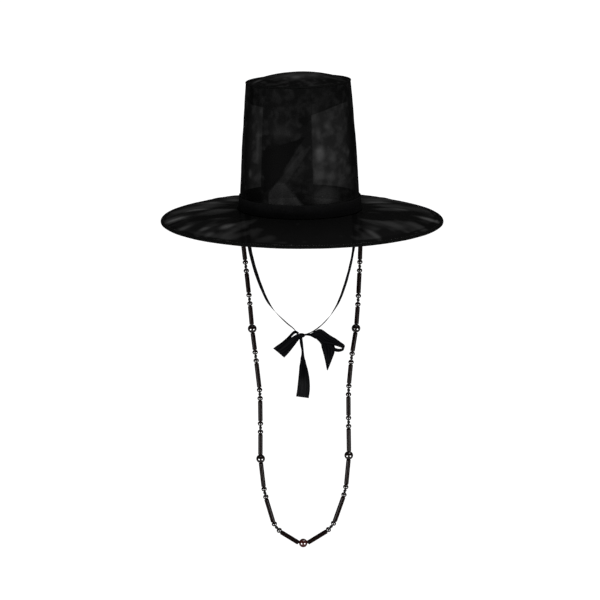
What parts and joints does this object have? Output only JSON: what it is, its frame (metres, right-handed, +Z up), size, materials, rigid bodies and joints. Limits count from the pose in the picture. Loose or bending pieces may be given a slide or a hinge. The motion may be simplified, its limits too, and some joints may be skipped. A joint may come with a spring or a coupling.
{
  "type": "costume hat",
  "caption": "Tall round costume hat of stiff black sheer cloth with a wide gently domed brim, a ribbon that ties in a bow under the chin, and a long loop of beads over the chest.",
  "frame": {"origin": "centre of the head opening, where the crown's foot meets the brim", "axes": "+Z up through the crown, the front of the hat towards -Y, the wearer's left towards +X"},
  "size_m": [0.4332, 0.4332, 0.7291],
  "materials": {
    "sheer_cloth": "stiff sheer black weave with a soft sheen",
    "band_cloth": "close-woven matt black ribbon",
    "binding": "black cloth binding over wire",
    "satin_ribbon": "smooth black satin",
    "bead_brown": "polished, nearly black brown",
    "bead_red": "polished dark red brown"
  },
  "bodies": {
    "root": {"crown_side": "sheer_cloth", "crown_top": "sheer_cloth", "crown_rim": "binding", "crown_band": "band_cloth", "brim": "sheer_cloth", "brim_edge": "binding", "tie_left": "satin_ribbon", "tie_right": "satin_ribbon", "bow_knot": "satin_ribbon", "bow_loop_left": "satin_ribbon", "bow_loop_right": "satin_ribbon", "bow_tail_centre": "satin_ribbon", "bow_tail_right": "satin_ribbon", "bead_string_left": "bead_brown", "bead_string_right": "bead_brown", "centre_bead": "bead_red"}
  },
  "joints": []
}
